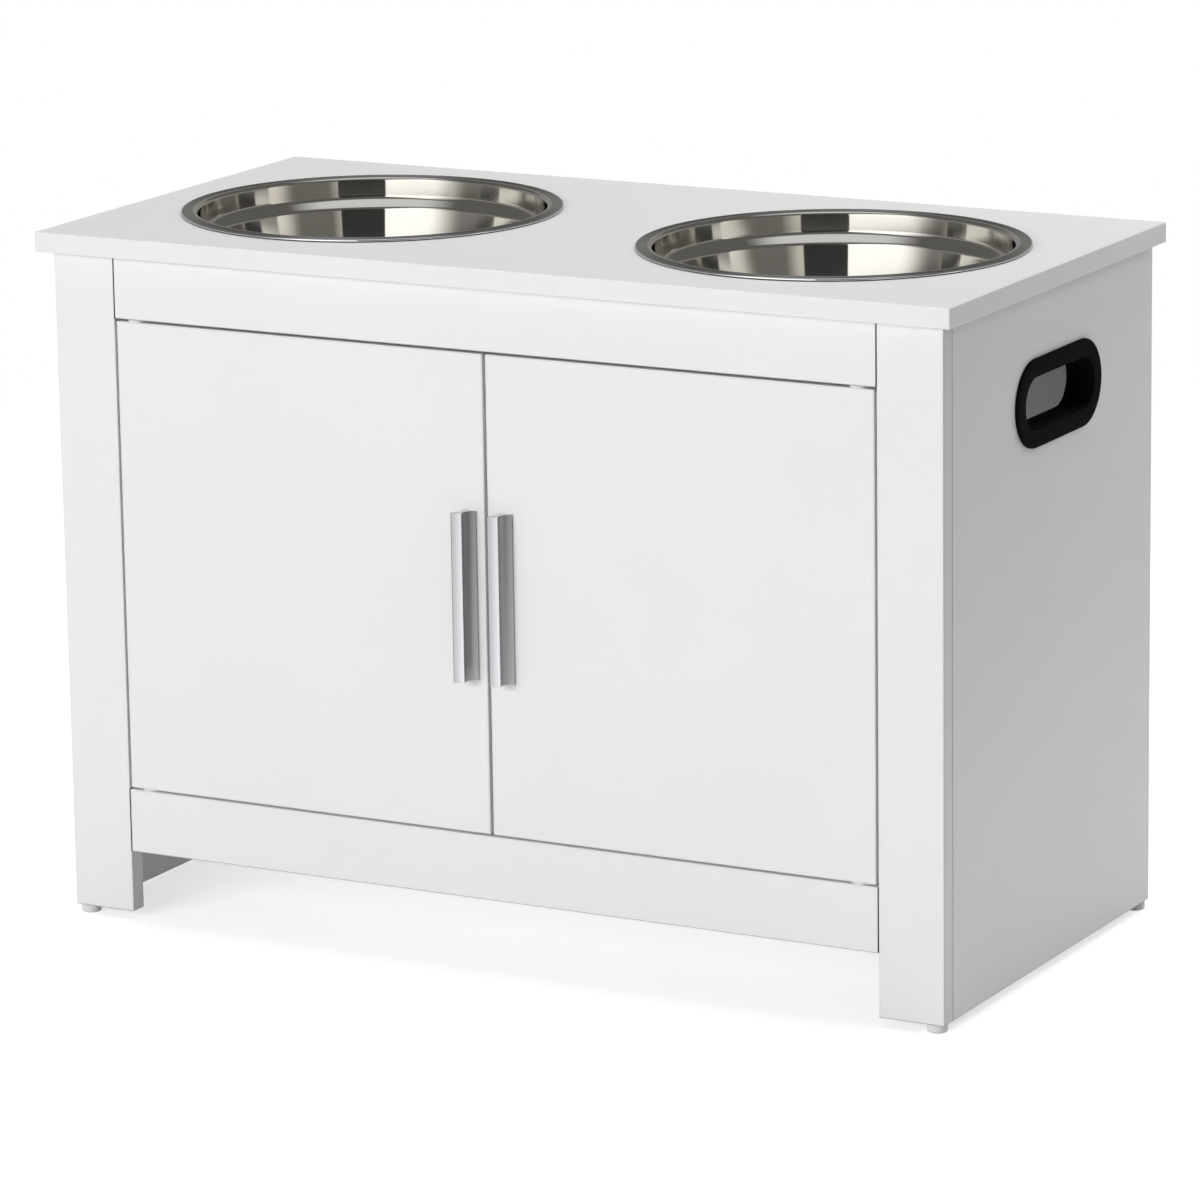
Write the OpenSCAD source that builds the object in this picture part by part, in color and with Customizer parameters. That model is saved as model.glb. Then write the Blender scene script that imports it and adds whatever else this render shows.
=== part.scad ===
// Elevated dog feeder with storage: a white laminated cabinet on four glides,
// with two inset doors, two lift-out steel bowls and a moulded hand-hole in
// each side. Millimetres. X runs to the right, Y to the back and Z up. The
// origin is on the floor under the centre of the top board.

/* [Cabinet] */
// Width of the top board
top_w = 600; // [590:2:660]
// Depth of the top board
top_d = 300; // [290:2:340]
// Height from the floor to the upper face of the top board
total_h = 421; // [400:1:480]
// Thickness of every laminated board
board = 12; // [12:0.5:14]
// How far the top board stands out past each side
side_overhang = 8; // [4:1:16]
// How far the top board stands out past the front frame
front_overhang = 8.5; // [4:0.5:16]
// How far the top board stands out past the back edges of the sides
back_overhang = 1.5; // [0:0.5:6]
// Radius to which every board edge is eased
ease = 0.6; // [0.3:0.1:1]

/* [Front frame] */
// Width of a stile
stile_w = 41; // [36:1:60]
// Height of the rail over the doors
top_rail_h = 38; // [36:1:60]
// Height of the rail under the doors
bottom_rail_h = 39; // [38:1:60]
// Height of the open space under the bottom rail, from the stiles' feet up
plinth_gap = 38; // [20:1:60]
// Fine gap that shows between a rail's end and its stile
rail_gap = 0.4; // [0:0.1:0.6]

/* [Doors] */
// Gap between a door and its stile
hinge_gap = 1.5; // [1.4:0.1:3]
// Gap between the two doors
meeting_gap = 2; // [1.6:0.1:4]
// Gap over and under a door, which the bush flanges fill
end_gap = 1.3; // [1.2:0.1:2]
// Distance from a door's hinge edge to its pivot axis
pivot_inset = 11.5; // [11.5:0.5:18]
// Diameter of a pivot pin
pin_d = 5; // [4:0.5:5]

/* [Pulls] */
// Length of a pull
pull_len = 101; // [80:1:160]
// How far a pull stands out from its door
pull_depth = 12; // [11.5:0.5:13]
// Distance of the screw line from the middle of the cabinet
pull_line = 11.75; // [11:0.25:20]
// Distance between the two screws of a pull
pull_pitch = 64; // [48:2:70]

/* [Bowls] */
// Distance between the centres of the two bowls
bowl_pitch = 310; // [296:2:320]
// Outer diameter of a bowl's rim
rim_d = 231; // [210:1:236]
// Depth of a bowl inside, from the face of the top board
bowl_depth = 62; // [45:1:80]
// Thickness of the bowl's steel
steel_t = 0.7; // [0.5:0.1:1]
// Height of the rolled rim over the top board
rim_h = 1.8; // [1.5:0.1:3]

/* [Grips] */
// Length of the grip's flange
grip_len = 117; // [100:1:130]
// Height of the grip's flange
grip_h = 52; // [46:1:60]
// Width of the flange all round the hand-hole
grip_border = 10.5; // [8:0.5:12]
// Height of the middle of the grip over the floor
grip_z = 343; // [300:1:350]
// Place of the middle of the grip, back from the middle of the top board
grip_y = 12; // [-20:1:30]

/* [Glides] */
// Diameter of a glide under the cabinet
glide_d = 12; // [10:0.5:16]
// Height of a glide
glide_h = 5; // [4:0.5:10]

/* [Hidden] */
$fn = 48;

white = [0.93, 0.93, 0.92];
plastic_white = [0.9, 0.9, 0.88];
black = [0.08, 0.08, 0.08];
steel = [0.75, 0.76, 0.77];
satin = [0.7, 0.71, 0.72];
beech = [0.8, 0.66, 0.46];
zinc = [0.6, 0.61, 0.63];
magnet_grey = [0.25, 0.25, 0.26];

eps = 0.01;
// Slack round a fitting in its hole, on the radius
slack = 0.05;

// Carcass: its outer faces, and the planes that the boards meet on
side_x = top_w / 2 - side_overhang;
inner_x = side_x - board;
front_y = -top_d / 2 + front_overhang;
frame_back_y = front_y + board;
back_y = top_d / 2 - back_overhang;
carcass_top = total_h - board;
side_mid_x = side_x - board / 2;
frame_mid_y = front_y + board / 2;

// Front frame
stile_x = side_x - stile_w;
rail_end = stile_x - rail_gap;
bottom_rail_z = glide_h + plinth_gap;
opening_z = bottom_rail_z + bottom_rail_h;
opening_top = carcass_top - top_rail_h;
floor_mid_z = opening_z - board / 2;

// Back panel: 3 mm hardboard held in grooves
back_t = 3;
groove_w = 3.4;
groove_depth = 4.5;
back_bite = 4;
back_mid_y = back_y - 5.5;

// Doors, and the bushes and pins that they turn on
door_z = opening_z + end_gap;
door_top = opening_top - end_gap;
door_outer_x = stile_x - hinge_gap;
door_inner_x = meeting_gap / 2;
pivot_x = door_outer_x - pivot_inset;
pin_bite = 9;
pin_in_bush = 11;
bush_d = 8;
bush_len = 12;
flange_d = 11.6;
flange_t = end_gap - 0.1;

// Pull section, across the door from the foot's left edge and out from the door
foot_w = 8.3;
foot_t = 0.9;
lip_x = -2.2;
lip_w = 7.6;
lip_t = 1.2;
left_groove = [-8.35, 4.05];
left_groove_r = 9.3;
right_groove = [11.25, 6.4];
right_groove_r = 7.25;
pull_screw_x = 3.3;
pull_screw_d = 3;
pull_screw_bite = 2.5;
pull_z = (door_z + door_top) / 2 - pull_len / 2;

// Bowl section: centres of the arcs of the inner skin, from the rolled bead on the
// rim's edge down to the floor
bowl_x = bowl_pitch / 2;
cutout_d = rim_d - 13;
wall_taper = 7;
ledge_slope = 40;
shoulder_taper = 5;
corner_r = 13;
ledge_r = 4;
shoulder_r = 4.5;
lip_roll_r = 2.5;
ledge_run = 4.5;
bead_r = rim_h / 2;
bead_c = [rim_d / 2 - bead_r, bead_r];
lip_c = [rim_d / 2 - 7.8, rim_h - lip_roll_r];
lip_start = lip_c + lip_roll_r * [-cos(shoulder_taper), sin(shoulder_taper)];
shoulder_h = 8.9;
shoulder_end = lip_start - shoulder_h * [tan(shoulder_taper), 1];
shoulder_c = shoulder_end - shoulder_r * [cos(shoulder_taper), -sin(shoulder_taper)];
ledge_top = shoulder_c + shoulder_r * [sin(ledge_slope), -cos(ledge_slope)];
ledge_foot = ledge_top - ledge_run * [cos(ledge_slope), sin(ledge_slope)];
ledge_c = ledge_foot + ledge_r * [sin(ledge_slope), -cos(ledge_slope)];
wall_top = ledge_c + ledge_r * [-cos(wall_taper), sin(wall_taper)];
corner_z = corner_r - bowl_depth;
corner_end_z = corner_z - corner_r * sin(wall_taper);
corner_c = [
    wall_top.x - (wall_top.y - corner_end_z) * tan(wall_taper) - corner_r * cos(wall_taper),
    corner_z
];

// Grip section, out from the middle line of the hand-hole
grip_r = grip_h / 2;
hole_r = grip_r - grip_border;
grip_run = grip_len / 2 - grip_r;
sleeve_r = hole_r + 2;
sleeve_depth = board + 4;
flange_h = 2.2;
ring_border = 8;
ring_t = 3;
ridge_pitch = 2.2;
ridge_count = 5;

// Cam fittings and dowels. Each stands in its own frame: the joint is at z = 0,
// the bolt runs up into a board's edge, and the cam opens on the face at +x.
cam_d = 12;
cam_depth = 9.5;
cam_reach = 18;
bolt_bite = 9;
bolt_thread_r = 2.75;
bolt_head_r = 2.9;
bolt_way_r = 3.7;
dowel_r = 3;
dowel_bite = 9;
dowel_len = 29;
down = [180, 0, 0];
down_cam_in = [0, 180, 0];
back_cam_in = [90, 0, 180];
in_cam_down = [0, 90, 180];
in_cam_back = [-90, 0, 90];
back = [-90, 0, 0];

top_cams = [for (y = [-70, 90]) [[side_mid_x, y, carcass_top], down_cam_in]];
stile_cams = [for (z = [60, 350]) [[side_mid_x, frame_back_y, z], back_cam_in]];
floor_cams = [for (y = [-85, 95]) [[inner_x, y, floor_mid_z], in_cam_down]];
rail_cam_z = [bottom_rail_z + 9, carcass_top - 9];
rail_cams = [for (z = rail_cam_z) [[stile_x, frame_mid_y, z], in_cam_back]];

top_dowels = [for (y = [-110, 125]) [[side_mid_x, y, carcass_top], down]];
frame_top_dowels = [for (x = [125, side_x - stile_w / 2]) [[x, frame_mid_y, carcass_top], down]];
stile_dowels = [for (z = [130, 280]) [[side_mid_x, frame_back_y, z], back]];
floor_dowels = [for (y = [-45, 55]) [[inner_x, y, floor_mid_z], in_cam_down]];
floor_front_dowels = [[[120, frame_back_y, floor_mid_z], back]];
rail_dowel_z = [bottom_rail_z + 22, carcass_top - 21];
rail_dowels = [for (z = rail_dowel_z) [[stile_x, frame_mid_y, z], in_cam_back]];

// Glides: under the stiles in front, under the side panels behind
glide_places = [[side_x - 7, frame_mid_y], [side_mid_x, back_y - 7]];
glide_round = 1.2;
nail_r = 1;
nail_len = 16;

// Catch behind the top rail, and the strike plates on the doors
catch_w = 48;
catch_d = 14;
catch_z = opening_top - 20;
catch_h = 38;
catch_screw_x = 18;
magnet_x = 13;
magnet_w = 14;
strike_t = 1.2;
strike_w = 16;
strike_h = 13;
strike_z = catch_z + 9;
catch_play = 0.3;
small_screw_r = 1.25;

// Points along an arc, for outlines that are revolved or extruded
function arc(c, r, from, to, steps) =
    [for (i = [0:steps]) let (a = from + (to - from) * i / steps) c + r * [cos(a), sin(a)]];

function reversed(list) = [for (i = [len(list) - 1:-1:0]) list[i]];

// The skin of a bowl, t outside its inner face, from the middle to the rim
function bowl_skin(t) = concat(
    [[0, -bowl_depth - t]],
    arc(corner_c, corner_r + t, -90, -wall_taper, 8),
    arc(ledge_c, ledge_r - t, 180 - wall_taper, 90 + ledge_slope, 4),
    arc(shoulder_c, shoulder_r + t, ledge_slope - 90, -shoulder_taper, 4),
    arc(lip_c, lip_roll_r - t, 180 - shoulder_taper, 90, 5)
);

// Children on the right, and mirrored on the left
module both_sides() {
    children();
    mirror([1, 0, 0]) children();
}

// Children as drawn for the right side, mirrored when side is -1
module on_side(side) {
    if (side > 0) children();
    else mirror([1, 0, 0]) children();
}

// Children at each joint of a list, on both sides of the cabinet
module at_joints(joints) {
    both_sides()
        for (j = joints)
            translate(j[0]) rotate(j[1]) children();
}

module round_rect(lo, hi, r) {
    translate([lo.x + r, lo.y]) square([hi.x - lo.x - 2 * r, hi.y - lo.y]);
    translate([lo.x, lo.y + r]) square([hi.x - lo.x, hi.y - lo.y - 2 * r]);
    for (x = [lo.x + r, hi.x - r], y = [lo.y + r, hi.y - r])
        translate([x, y]) circle(r = r, $fn = 24);
}

// A board from corner lo to corner hi with all its edges eased
module eased_board(lo, hi) {
    intersection() {
        translate([0, 0, lo.z])
            linear_extrude(hi.z - lo.z)
                round_rect([lo.x, lo.y], [hi.x, hi.y], ease);
        translate([0, hi.y, 0]) rotate([90, 0, 0])
            linear_extrude(hi.y - lo.y)
                round_rect([lo.x, lo.z], [hi.x, hi.z], ease);
        translate([lo.x, 0, 0]) rotate([90, 0, 90])
            linear_extrude(hi.x - lo.x)
                round_rect([lo.y, lo.z], [hi.y, hi.z], ease);
    }
}

module cam_bores() {
    translate([0, 0, -bolt_bite]) cylinder(r = bolt_thread_r + slack, h = bolt_bite + eps);
    cylinder(r = bolt_way_r, h = cam_reach);
    translate([board / 2 - cam_depth, 0, cam_reach]) rotate([0, 90, 0])
        cylinder(d = cam_d + 2 * slack, h = cam_depth + eps);
}

module dowel_bore() {
    translate([0, 0, -dowel_bite]) cylinder(r = dowel_r + slack, h = dowel_len + 0.5);
}

// Every hole that the listed cam joints and dowels need
module bores(cams, dowels) {
    at_joints(cams) cam_bores();
    at_joints(dowels) dowel_bore();
}

// Groove for the back panel, between two corners of its run
module back_groove(lo, hi) {
    translate([lo.x, back_mid_y - groove_w / 2, lo.y])
        cube([hi.x - lo.x, groove_w, hi.y - lo.y]);
}

// Outline of the hand-hole with its ends rounded to radius r
module slot_outline(r) {
    translate([-grip_run, -r]) square([2 * grip_run, 2 * r]);
    for (x = [-grip_run, grip_run]) translate([x, 0]) circle(r = r);
}

// A section, drawn out from the middle line, swept round the hand-hole
module sweep_round_slot() {
    for (turn = [0, 180])
        rotate([0, 0, turn]) {
            translate([grip_run, 0, 0]) rotate([0, 0, -90]) rotate_extrude(angle = 180) children();
            translate([-grip_run, 0, 0]) rotate([90, 0, 90]) linear_extrude(2 * grip_run) children();
        }
}

// The middle of the hand-hole on the outer face, with z pointing out of the side
module at_grip() {
    translate([side_x, grip_y, grip_z]) rotate([90, 0, 90]) children();
}

module top_board() {
    color(white)
        difference() {
            eased_board([-top_w / 2, -top_d / 2, carcass_top], [top_w / 2, top_d / 2, total_h]);
            both_sides()
                translate([bowl_x, 0, carcass_top - eps])
                    cylinder(d = cutout_d, h = board + 2 * eps, $fn = 120);
            bores(top_cams, concat(top_dowels, frame_top_dowels));
            back_groove([-inner_x - 6, carcass_top - eps], [inner_x + 6, carcass_top + groove_depth]);
        }
}

module side_panel(side) {
    color(white)
        on_side(side)
            difference() {
                eased_board([inner_x, frame_back_y, glide_h], [side_x, back_y, carcass_top]);
                at_grip() translate([0, 0, -board - eps])
                    linear_extrude(board + 2 * eps) slot_outline(sleeve_r + 0.3);
                bores(
                    concat(top_cams, stile_cams, floor_cams),
                    concat(top_dowels, stile_dowels, floor_dowels)
                );
                back_groove([inner_x - eps, glide_h - eps], [inner_x + groove_depth, carcass_top + eps]);
                translate([glide_places[1].x, glide_places[1].y, glide_h - eps])
                    cylinder(r = nail_r + slack, h = nail_len);
            }
}

module stile(side) {
    color(white)
        on_side(side)
            difference() {
                eased_board([stile_x, front_y, glide_h], [side_x, frame_back_y, carcass_top]);
                bores(
                    concat(stile_cams, rail_cams),
                    concat(stile_dowels, rail_dowels, frame_top_dowels)
                );
                translate([glide_places[0].x, glide_places[0].y, glide_h - eps])
                    cylinder(r = nail_r + slack, h = nail_len);
            }
}

module top_rail() {
    color(white)
        difference() {
            eased_board([-rail_end, front_y, opening_top], [rail_end, frame_back_y, carcass_top]);
            bores(rail_cams, concat(rail_dowels, frame_top_dowels));
            both_sides() translate([pivot_x, frame_mid_y, opening_top - eps])
                cylinder(d = pin_d, h = pin_bite + eps);
            both_sides() catch_screw_hole();
        }
}

module bottom_rail() {
    color(white)
        difference() {
            eased_board([-rail_end, front_y, bottom_rail_z], [rail_end, frame_back_y, opening_z]);
            bores(rail_cams, concat(rail_dowels, floor_front_dowels));
            both_sides() translate([pivot_x, frame_mid_y, opening_z - pin_bite])
                cylinder(d = pin_d, h = pin_bite + eps);
        }
}

module floor_panel() {
    color(white)
        difference() {
            eased_board(
                [-inner_x, frame_back_y, opening_z - board],
                [inner_x, back_mid_y - back_t / 2, opening_z]
            );
            bores(floor_cams, concat(floor_dowels, floor_front_dowels));
        }
}

module back_panel() {
    color(white)
        translate([-inner_x - back_bite, back_mid_y - back_t / 2, opening_z - board])
            cube([2 * (inner_x + back_bite), back_t, carcass_top + back_bite - opening_z + board]);
}

module cam_lock() {
    difference() {
        translate([board / 2 - cam_depth, 0, cam_reach]) rotate([0, 90, 0])
            cylinder(d = cam_d, h = cam_depth);
        translate([0, 0, cam_reach - cam_d]) cylinder(r = bolt_head_r + 0.2, h = cam_d + 3);
        for (turn = [0, 90])
            translate([board / 2, 0, cam_reach]) rotate([turn, 0, 0]) cube([3.6, 7, 1.6], center = true);
    }
}

module cam_bolt() {
    rotate_extrude()
        polygon([
            [0, -bolt_bite], [bolt_thread_r - 0.8, -bolt_bite], [bolt_thread_r, 1 - bolt_bite],
            [bolt_thread_r, 0], [bolt_thread_r + 0.4, 0], [bolt_thread_r + 0.4, 1], [2, 1],
            [2, cam_reach - 5], [1.5, cam_reach - 4], [1.5, cam_reach - 1.5],
            [bolt_head_r, cam_reach - 0.5], [bolt_head_r, cam_reach + 1],
            [bolt_head_r - 1, cam_reach + 2], [0, cam_reach + 2]
        ]);
}

module cam_locks() {
    color(zinc) at_joints(concat(top_cams, stile_cams, floor_cams, rail_cams)) cam_lock();
}

module cam_bolts() {
    color(zinc) at_joints(concat(top_cams, stile_cams, floor_cams, rail_cams)) cam_bolt();
}

module dowel() {
    chamfer = 0.8;
    translate([0, 0, -dowel_bite])
        rotate_extrude()
            polygon([
                [0, 0], [dowel_r - chamfer, 0], [dowel_r, chamfer], [dowel_r, dowel_len - chamfer],
                [dowel_r - chamfer, dowel_len], [0, dowel_len]
            ]);
}

module dowels() {
    color(beech)
        at_joints(concat(
            top_dowels, frame_top_dowels, stile_dowels, floor_dowels,
            floor_front_dowels, rail_dowels
        ))
            dowel();
}

// Section of the grip: a rounded flange on the panel and a ridged sleeve through it
module grip_section() {
    difference() {
        union() {
            translate([hole_r, -sleeve_depth]) square([sleeve_r - hole_r, sleeve_depth + flange_h / 2]);
            translate([hole_r, 0]) square([grip_border - flange_h / 2, flange_h]);
            translate([grip_r - flange_h / 2, flange_h / 2]) circle(d = flange_h, $fn = 24);
        }
        for (i = [0:ridge_count - 1])
            translate([hole_r - eps, -4 - i * ridge_pitch]) square([0.6 + eps, 1]);
    }
}

module grip(side) {
    color(black) on_side(side) at_grip() sweep_round_slot() grip_section();
}

// The ring that snaps over the sleeve on the inner face of the side panel
module grip_ring(side) {
    color(black)
        on_side(side) at_grip()
            translate([0, 0, -board - ring_t])
                difference() {
                    linear_extrude(ring_t) slot_outline(hole_r + ring_border);
                    translate([0, 0, -eps]) linear_extrude(ring_t + 2 * eps) slot_outline(sleeve_r + 0.1);
                }
}

module glides() {
    color(plastic_white)
        both_sides()
            for (p = glide_places)
                translate([p.x, p.y, 0])
                    rotate_extrude()
                        polygon(concat(
                            [[0, 0]],
                            arc([glide_d / 2 - glide_round, glide_round], glide_round, -90, 0, 5),
                            [[glide_d / 2, glide_h], [nail_r + slack, glide_h], [nail_r + slack, 2.5]],
                            [[2.4, 2.5], [2.4, 1], [0, 1]]
                        ));
}

module glide_nails() {
    color(zinc)
        both_sides()
            for (p = glide_places)
                translate([p.x, p.y, 1.2]) {
                    cylinder(r = 2.3, h = 1.2);
                    cylinder(r = nail_r, h = glide_h + nail_len - 5);
                }
}

// Catch screws run through the housing into the back of the top rail
module catch_screw_hole() {
    translate([catch_screw_x, frame_back_y + eps, catch_z + catch_h - 8]) rotate([90, 0, 0])
        cylinder(r = small_screw_r + slack, h = 8.5);
}

module magnet_pockets() {
    both_sides()
        translate([magnet_x - magnet_w / 2, frame_back_y, strike_z - 4])
            cube([magnet_w, 8, 8]);
}

module magnetic_catch() {
    front = frame_back_y + strike_t + catch_play;
    color(plastic_white)
        difference() {
            translate([0, frame_back_y + catch_d, 0]) rotate([90, 0, 0])
                linear_extrude(catch_d)
                    round_rect([-catch_w / 2, catch_z], [catch_w / 2, catch_z + catch_h], 3);
            translate([-catch_w, frame_back_y - eps, catch_z - eps])
                cube([2 * catch_w, front - frame_back_y + eps, opening_top - catch_z + 0.5]);
            translate([-catch_w, frame_back_y + 6, opening_top + 3])
                cube([2 * catch_w, catch_d, catch_h]);
            magnet_pockets();
            both_sides()
                translate([catch_screw_x, frame_back_y - eps, catch_z + catch_h - 8])
                    rotate([-90, 0, 0]) cylinder(r = small_screw_r + slack, h = catch_d);
        }
}

module catch_magnets() {
    front = frame_back_y + strike_t + catch_play;
    color(magnet_grey)
        both_sides()
            translate([magnet_x - magnet_w / 2, front, strike_z - 4])
                cube([magnet_w, frame_back_y + 8 - front, 8]);
}

// A pan-head screw that points along -y, with its head's seat at the origin
module screw(r, length, head_r, head_h) {
    rotate([90, 0, 0])
        rotate_extrude()
            polygon(concat(
                [[0, length], [r * 0.6, length], [r, length - r], [r, 0], [head_r, 0]],
                arc([head_r - head_h, 0], head_h, 0, -90, 5),
                [[0, -head_h]]
            ));
}

module catch_screws() {
    color(zinc)
        both_sides()
            translate([catch_screw_x, frame_back_y + 6, catch_z + catch_h - 8])
                screw(small_screw_r, 14, 2.6, 1.6);
}

module pivot_pin() {
    chamfer = 0.5;
    length = pin_bite + end_gap + pin_in_bush;
    rotate_extrude()
        polygon([
            [0, 0], [pin_d / 2 - chamfer, 0], [pin_d / 2, chamfer], [pin_d / 2, length - chamfer],
            [pin_d / 2 - chamfer, length], [0, length]
        ]);
}

module pivot_pins(side) {
    color(steel)
        on_side(side) {
            translate([pivot_x, frame_mid_y, opening_z - pin_bite]) pivot_pin();
            translate([pivot_x, frame_mid_y, opening_top + pin_bite]) rotate(down) pivot_pin();
        }
}

// A flanged bush with its flange's outer face at z = 0 and its body above it
module pivot_bush() {
    difference() {
        union() {
            cylinder(d = flange_d, h = flange_t);
            cylinder(d = bush_d, h = flange_t + bush_len);
        }
        translate([0, 0, -eps])
            cylinder(d = pin_d + 2 * slack, h = flange_t + pin_in_bush + 0.5);
    }
}

module pivot_bushes(side) {
    color(plastic_white)
        on_side(side) {
            translate([pivot_x, frame_mid_y, door_z - flange_t]) pivot_bush();
            translate([pivot_x, frame_mid_y, door_top + flange_t]) rotate(down) pivot_bush();
        }
}

// Left edge of the foot of a pull: both pulls face the same way
function pull_x(side) = side * pull_line - pull_screw_x;

module at_pull_screws(side) {
    for (dz = [-pull_pitch / 2, pull_pitch / 2])
        translate([side * pull_line, frame_back_y, (door_z + door_top) / 2 + dz]) children();
}

module door(side) {
    color(white)
        difference() {
            on_side(side)
                difference() {
                    eased_board([door_inner_x, front_y, door_z], [door_outer_x, frame_back_y, door_top]);
                    translate([pivot_x, frame_mid_y, door_z - eps])
                        cylinder(d = bush_d, h = bush_len + eps);
                    translate([pivot_x, frame_mid_y, door_top - bush_len])
                        cylinder(d = bush_d, h = bush_len + eps);
                    translate([magnet_x, frame_back_y + eps, strike_z]) rotate([90, 0, 0])
                        cylinder(r = small_screw_r + slack, h = 9);
                }
            at_pull_screws(side) translate([0, eps, 0]) rotate([90, 0, 0])
                cylinder(d = pull_screw_d + 1, h = board + 2 * eps);
        }
}

module pull_section() {
    square([foot_w, foot_t]);
    translate([lip_x, pull_depth - lip_t]) square([lip_w, lip_t]);
    difference() {
        polygon([
            [0, 0], [foot_w - 1, 0], [lip_x + lip_w, pull_depth - lip_t], [lip_x, pull_depth - lip_t]
        ]);
        translate(left_groove) circle(r = left_groove_r);
        translate(right_groove) circle(r = right_groove_r);
    }
}

module pull(side) {
    color(satin)
        difference() {
            translate([pull_x(side), front_y, pull_z])
                linear_extrude(pull_len) mirror([0, 1]) pull_section();
            at_pull_screws(side) rotate([90, 0, 0])
                cylinder(d = pull_screw_d, h = board + pull_screw_bite);
        }
}

module pull_screws(side) {
    color(zinc) at_pull_screws(side) screw(pull_screw_d / 2, board + pull_screw_bite, 3.2, 2);
}

module strike_plate(side) {
    color(zinc)
        on_side(side)
            difference() {
                translate([0, frame_back_y + strike_t, 0]) rotate([90, 0, 0])
                    linear_extrude(strike_t)
                        round_rect(
                            [magnet_x - strike_w / 2, strike_z - strike_h / 2],
                            [magnet_x + strike_w / 2, strike_z + strike_h / 2], 2
                        );
                translate([magnet_x, frame_back_y + strike_t + eps, strike_z]) rotate([90, 0, 0])
                    cylinder(r1 = small_screw_r + strike_t, r2 = small_screw_r + slack, h = strike_t + 2 * eps);
            }
}

// A countersunk screw, flush with its strike plate
module strike_screw(side) {
    color(zinc)
        on_side(side)
            translate([magnet_x, frame_back_y + strike_t, strike_z]) rotate([90, 0, 0])
                rotate_extrude()
                    polygon([
                        [0, 0], [small_screw_r + strike_t - 0.1, 0], [small_screw_r, strike_t],
                        [small_screw_r, 8], [0, 9.5]
                    ]);
}

module bowl(side) {
    color(steel)
        translate([side * bowl_x, 0, total_h])
            rotate_extrude($fn = 120)
                polygon(concat(
                    bowl_skin(0),
                    arc(bead_c, bead_r, 90, -180, 10),
                    reversed(bowl_skin(steel_t))
                ));
}

top_board();
side_panel(-1);  // left_side_panel
side_panel(1);  // right_side_panel
stile(-1);  // left_stile
stile(1);  // right_stile
top_rail();
bottom_rail();
floor_panel();
back_panel();
cam_locks();
cam_bolts();
dowels();
grip(-1);  // left_grip
grip(1);  // right_grip
grip_ring(-1);  // left_grip_ring
grip_ring(1);  // right_grip_ring
glides();
glide_nails();
magnetic_catch();
catch_magnets();
catch_screws();
pivot_pins(-1);  // left_pivot_pins
pivot_pins(1);  // right_pivot_pins
pivot_bushes(-1);  // left_pivot_bushes
pivot_bushes(1);  // right_pivot_bushes
door(-1);  // left_door
door(1);  // right_door
pull(-1);  // left_pull
pull(1);  // right_pull
pull_screws(-1);  // left_pull_screws
pull_screws(1);  // right_pull_screws
strike_plate(-1);  // left_strike_plate
strike_plate(1);  // right_strike_plate
strike_screw(-1);  // left_strike_screw
strike_screw(1);  // right_strike_screw
bowl(-1);  // left_bowl
bowl(1);  // right_bowl
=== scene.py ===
# Looks of the raised dog feeder: a white laminated cabinet on four glides, with two
# doors that turn on pivot pins, two steel bowls dropped into its top and a moulded
# hand-hole in each side. Metres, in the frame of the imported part.
import math

import bmesh
import bpy
from mathutils import Matrix, Vector


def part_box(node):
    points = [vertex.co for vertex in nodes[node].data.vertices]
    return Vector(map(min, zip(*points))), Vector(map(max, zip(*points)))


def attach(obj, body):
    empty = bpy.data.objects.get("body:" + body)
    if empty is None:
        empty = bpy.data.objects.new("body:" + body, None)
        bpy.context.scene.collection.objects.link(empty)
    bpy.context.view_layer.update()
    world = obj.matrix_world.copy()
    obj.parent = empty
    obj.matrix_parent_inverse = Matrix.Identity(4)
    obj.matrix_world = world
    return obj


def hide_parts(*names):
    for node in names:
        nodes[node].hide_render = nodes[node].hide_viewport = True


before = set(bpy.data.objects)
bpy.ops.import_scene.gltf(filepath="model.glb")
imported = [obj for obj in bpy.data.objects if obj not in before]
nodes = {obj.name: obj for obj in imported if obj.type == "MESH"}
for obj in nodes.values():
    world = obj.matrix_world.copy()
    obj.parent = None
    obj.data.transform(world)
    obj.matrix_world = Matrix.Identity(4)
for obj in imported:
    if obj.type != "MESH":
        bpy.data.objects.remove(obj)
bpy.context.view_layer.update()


# ---------------------------------------------------------------- Side panels
# Two 12 mm particle boards faced with white melamine paper, with white plastic tape
# glued round their edges. Each stands behind its stile, is grooved for the back panel
# and has its hand-hole routed right through.
class Wire:
    """The output of a shader node. Arithmetic on it adds Math nodes to its tree."""

    def __init__(self, socket):
        self.socket = socket
        self.tree = socket.id_data

    def math(self, operation, *others):
        """A Math node that works on this value and the others."""
        values = dict(enumerate((self, *others)))
        return add_node(self.tree, "Math", {"operation": operation}, values)

    def __add__(self, other):
        return self.math("ADD", other)

    def __sub__(self, other):
        return self.math("SUBTRACT", other)

    def __mul__(self, other):
        return self.math("MULTIPLY", other)

    def __rsub__(self, other):
        return add_node(self.tree, "Math", {"operation": "SUBTRACT"}, {0: other, 1: self})

    def __abs__(self):
        return self.math("ABSOLUTE")

    __radd__ = __add__
    __rmul__ = __mul__

    def smooth(self, start, end):
        """0 before start, 1 after end, with a soft step between them."""
        return add_node(
            self.tree, "MapRange", {"interpolation_type": "SMOOTHSTEP"},
            {"Value": self, "From Min": start, "From Max": end, "To Min": 0.0, "To Max": 1.0},
        )

    def near(self, centre, reach, soft):
        """1 up to reach from centre on both sides, and 0 once soft further away."""
        return 1 - abs(self - centre).smooth(reach, reach + soft)


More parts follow.
